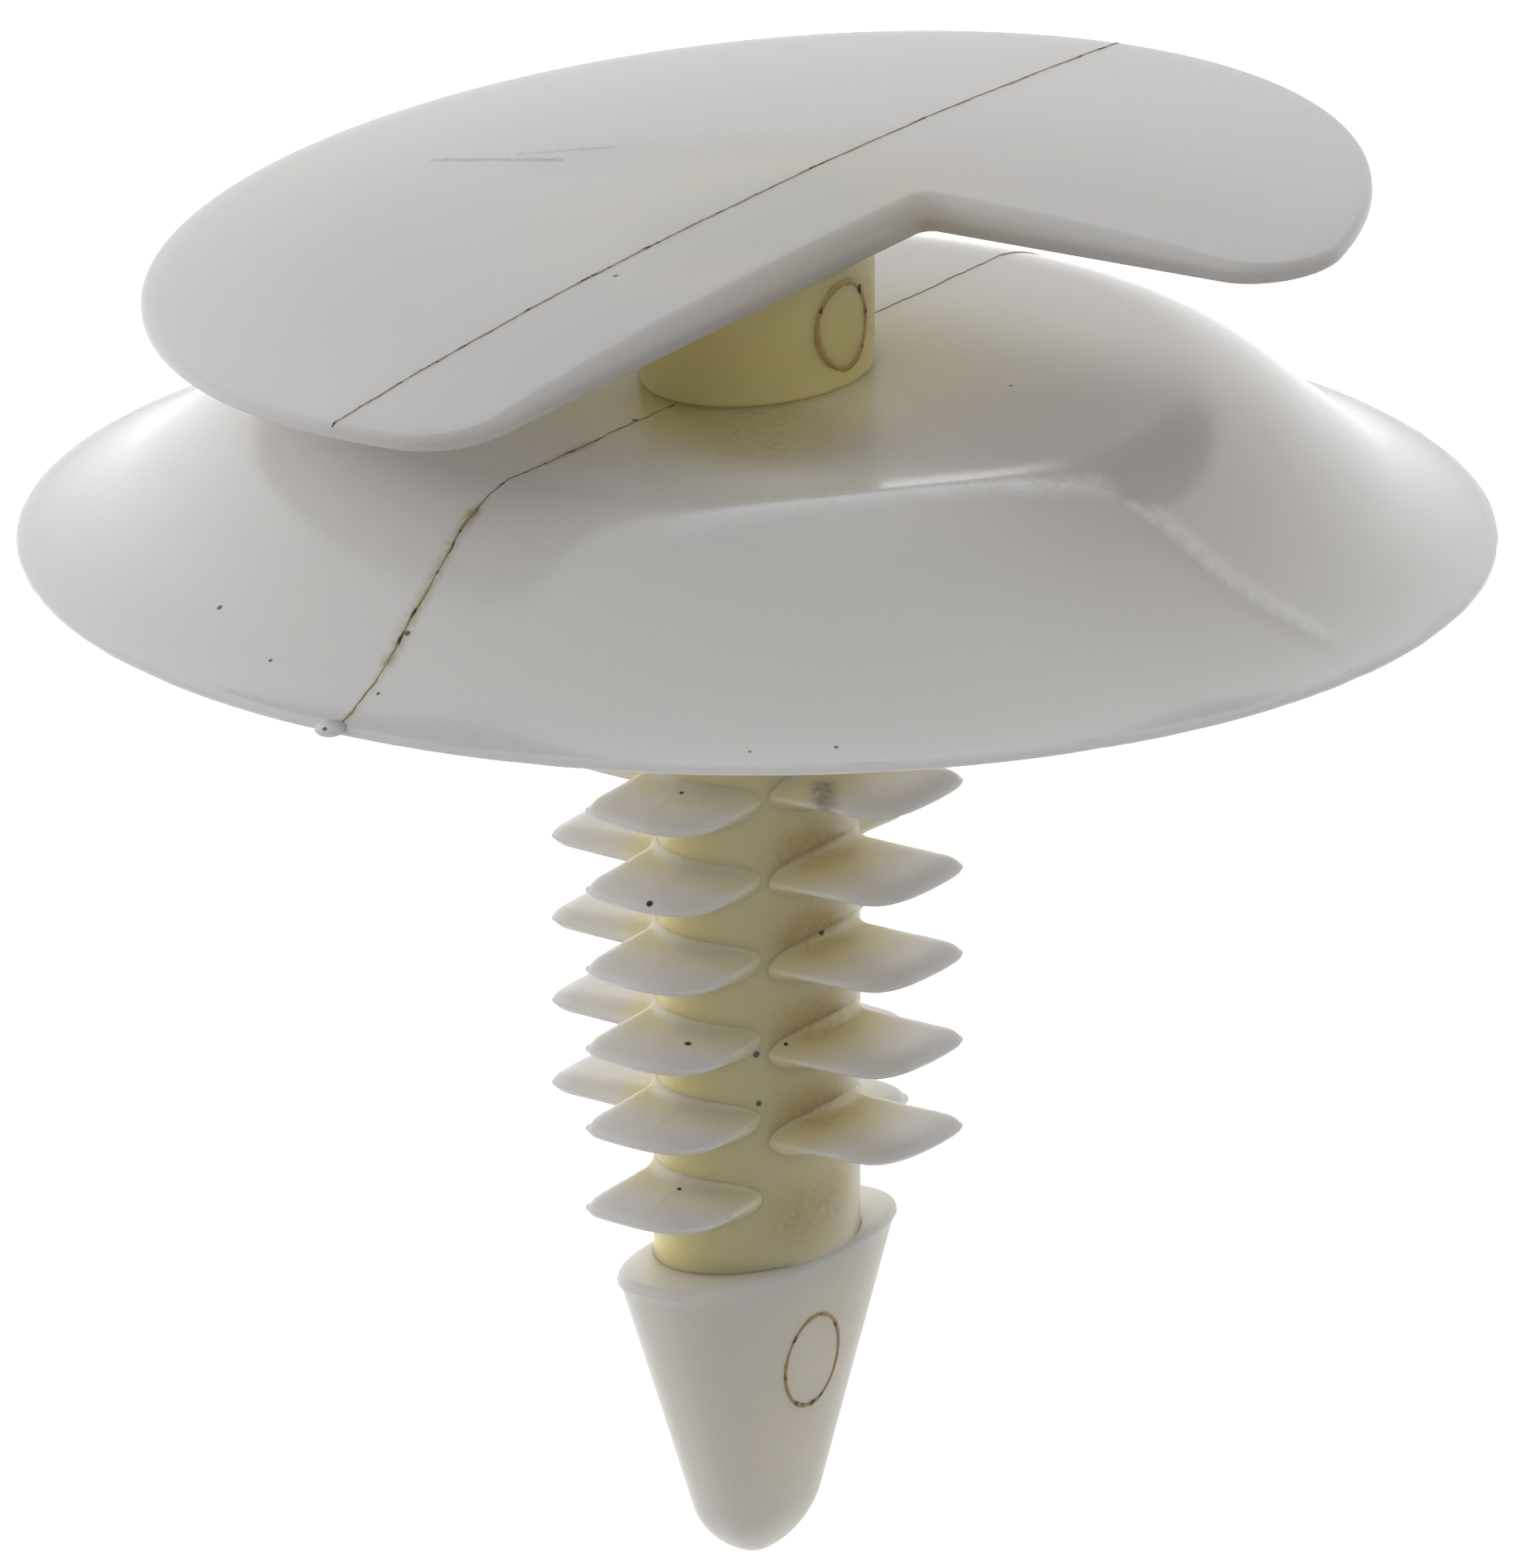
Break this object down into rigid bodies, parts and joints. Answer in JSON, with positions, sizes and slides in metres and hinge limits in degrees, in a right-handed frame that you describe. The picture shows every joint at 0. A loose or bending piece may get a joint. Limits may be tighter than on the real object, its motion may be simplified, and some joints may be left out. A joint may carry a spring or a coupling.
{
  "type": "push-in trim retainer",
  "caption": "Push-in panel retainer: notched head, short neck, umbrella seal and a stem with columns of flexible fins above a tapered tip.",
  "frame": {"origin": "on the stem axis, in the plane of the umbrella rim, which is the face of the sheet that the stem is pushed through", "axes": "+Z along the stem towards the head; +X the direction in which the mould opens, with the head notch towards +X and -Y; the parting plane is x = 0"},
  "size_m": [0.025, 0.0254, 0.0245],
  "materials": {
    "nylon_natural": "satin natural nylon",
    "nylon_thick": "satin natural nylon, amber where it is thick",
    "nylon_thin": "satin natural nylon, paler where it is thin"
  },
  "bodies": {
    "moulding": {"head_plate": "nylon_natural", "neck": "nylon_thick", "umbrella_crown": "nylon_natural", "umbrella_skirt": "nylon_thin", "stem_core": "nylon_thick", "tip": "nylon_natural"},
    "rim": {"umbrella_rim": "nylon_thin"},
    "fin_front_1": {"fin_front_1": "nylon_thin"},
    "fin_front_2": {"fin_front_2": "nylon_thin"},
    "fin_front_3": {"fin_front_3": "nylon_thin"},
    "fin_front_4": {"fin_front_4": "nylon_thin"},
    "fin_front_5": {"fin_front_5": "nylon_thin"},
    "fin_front_6": {"fin_front_6": "nylon_thin"},
    "fin_back_1": {"fin_back_1": "nylon_thin"},
    "fin_back_2": {"fin_back_2": "nylon_thin"},
    "fin_back_3": {"fin_back_3": "nylon_thin"},
    "fin_back_4": {"fin_back_4": "nylon_thin"},
    "fin_back_5": {"fin_back_5": "nylon_thin"},
    "fin_back_6": {"fin_back_6": "nylon_thin"},
    "fin_right_1": {"fin_right_1": "nylon_thin"},
    "fin_right_2": {"fin_right_2": "nylon_thin"},
    "fin_right_3": {"fin_right_3": "nylon_thin"},
    "fin_right_4": {"fin_right_4": "nylon_thin"},
    "fin_right_5": {"fin_right_5": "nylon_thin"},
    "fin_left_1": {"fin_left_1": "nylon_thin"},
    "fin_left_2": {"fin_left_2": "nylon_thin"},
    "fin_left_3": {"fin_left_3": "nylon_thin"},
    "fin_left_4": {"fin_left_4": "nylon_thin"},
    "fin_left_5": {"fin_left_5": "nylon_thin"}
  },
  "joints": [
    {"name": "rim_flatten", "type": "slide", "parent": "moulding", "child": "rim", "axis": [0, 0, 1], "range_m": [0, 0.001], "stiffness_N_per_m": 2000},
    {"name": "fin_front_1_fold", "type": "hinge", "parent": "moulding", "child": "fin_front_1", "pos_m": [0, -0.00225, -0.00376], "axis": [-1, 0, 0], "range_deg": [0, 25], "stiffness_Nm_per_rad": 0.014},
    {"name": "fin_front_2_fold", "type": "hinge", "parent": "moulding", "child": "fin_front_2", "pos_m": [0, -0.00225, -0.00518], "axis": [-1, 0, 0], "range_deg": [0, 25], "stiffness_Nm_per_rad": 0.014},
    {"name": "fin_front_3_fold", "type": "hinge", "parent": "moulding", "child": "fin_front_3", "pos_m": [0, -0.00225, -0.00659], "axis": [-1, 0, 0], "range_deg": [0, 25], "stiffness_Nm_per_rad": 0.014},
    {"name": "fin_front_4_fold", "type": "hinge", "parent": "moulding", "child": "fin_front_4", "pos_m": [0, -0.00225, -0.00801], "axis": [-1, 0, 0], "range_deg": [0, 25], "stiffness_Nm_per_rad": 0.014},
    {"name": "fin_front_5_fold", "type": "hinge", "parent": "moulding", "child": "fin_front_5", "pos_m": [0, -0.00225, -0.00942], "axis": [-1, 0, 0], "range_deg": [0, 25], "stiffness_Nm_per_rad": 0.014},
    {"name": "fin_front_6_fold", "type": "hinge", "parent": "moulding", "child": "fin_front_6", "pos_m": [0, -0.00225, -0.01084], "axis": [-1, 0, 0], "range_deg": [0, 25], "stiffness_Nm_per_rad": 0.014},
    {"name": "fin_back_1_fold", "type": "hinge", "parent": "moulding", "child": "fin_back_1", "pos_m": [0, 0.00225, -0.00376], "axis": [1, 0, 0], "range_deg": [0, 25], "stiffness_Nm_per_rad": 0.014},
    {"name": "fin_back_2_fold", "type": "hinge", "parent": "moulding", "child": "fin_back_2", "pos_m": [0, 0.00225, -0.00506], "axis": [1, 0, 0], "range_deg": [0, 25], "stiffness_Nm_per_rad": 0.014},
    {"name": "fin_back_3_fold", "type": "hinge", "parent": "moulding", "child": "fin_back_3", "pos_m": [0, 0.00225, -0.00636], "axis": [1, 0, 0], "range_deg": [0, 25], "stiffness_Nm_per_rad": 0.014},
    {"name": "fin_back_4_fold", "type": "hinge", "parent": "moulding", "child": "fin_back_4", "pos_m": [0, 0.00225, -0.00766], "axis": [1, 0, 0], "range_deg": [0, 25], "stiffness_Nm_per_rad": 0.014},
    {"name": "fin_back_5_fold", "type": "hinge", "parent": "moulding", "child": "fin_back_5", "pos_m": [0, 0.00225, -0.00896], "axis": [1, 0, 0], "range_deg": [0, 25], "stiffness_Nm_per_rad": 0.014},
    {"name": "fin_back_6_fold", "type": "hinge", "parent": "moulding", "child": "fin_back_6", "pos_m": [0, 0.00225, -0.01026], "axis": [1, 0, 0], "range_deg": [0, 25], "stiffness_Nm_per_rad": 0.014},
    {"name": "fin_right_1_fold", "type": "hinge", "parent": "moulding", "child": "fin_right_1", "pos_m": [0.00149, 0, -0.00374], "axis": [0, -1, 0], "range_deg": [0, 25], "stiffness_Nm_per_rad": 0.014},
    {"name": "fin_right_2_fold", "type": "hinge", "parent": "moulding", "child": "fin_right_2", "pos_m": [0.00149, 0, -0.00528], "axis": [0, -1, 0], "range_deg": [0, 25], "stiffness_Nm_per_rad": 0.014},
    {"name": "fin_right_3_fold", "type": "hinge", "parent": "moulding", "child": "fin_right_3", "pos_m": [0.00149, 0, -0.00682], "axis": [0, -1, 0], "range_deg": [0, 25], "stiffness_Nm_per_rad": 0.014},
    {"name": "fin_right_4_fold", "type": "hinge", "parent": "moulding", "child": "fin_right_4", "pos_m": [0.00149, 0, -0.00835], "axis": [0, -1, 0], "range_deg": [0, 25], "stiffness_Nm_per_rad": 0.014},
    {"name": "fin_right_5_fold", "type": "hinge", "parent": "moulding", "child": "fin_right_5", "pos_m": [0.00149, 0, -0.00989], "axis": [0, -1, 0], "range_deg": [0, 25], "stiffness_Nm_per_rad": 0.014},
    {"name": "fin_left_1_fold", "type": "hinge", "parent": "moulding", "child": "fin_left_1", "pos_m": [-0.00149, 0, -0.00387], "axis": [0, 1, 0], "range_deg": [0, 25], "stiffness_Nm_per_rad": 0.014},
    {"name": "fin_left_2_fold", "type": "hinge", "parent": "moulding", "child": "fin_left_2", "pos_m": [-0.00149, 0, -0.00534], "axis": [0, 1, 0], "range_deg": [0, 25], "stiffness_Nm_per_rad": 0.014},
    {"name": "fin_left_3_fold", "type": "hinge", "parent": "moulding", "child": "fin_left_3", "pos_m": [-0.00149, 0, -0.00681], "axis": [0, 1, 0], "range_deg": [0, 25], "stiffness_Nm_per_rad": 0.014},
    {"name": "fin_left_4_fold", "type": "hinge", "parent": "moulding", "child": "fin_left_4", "pos_m": [-0.00149, 0, -0.00828], "axis": [0, 1, 0], "range_deg": [0, 25], "stiffness_Nm_per_rad": 0.014},
    {"name": "fin_left_5_fold", "type": "hinge", "parent": "moulding", "child": "fin_left_5", "pos_m": [-0.00149, 0, -0.00975], "axis": [0, 1, 0], "range_deg": [0, 25], "stiffness_Nm_per_rad": 0.014}
  ]
}
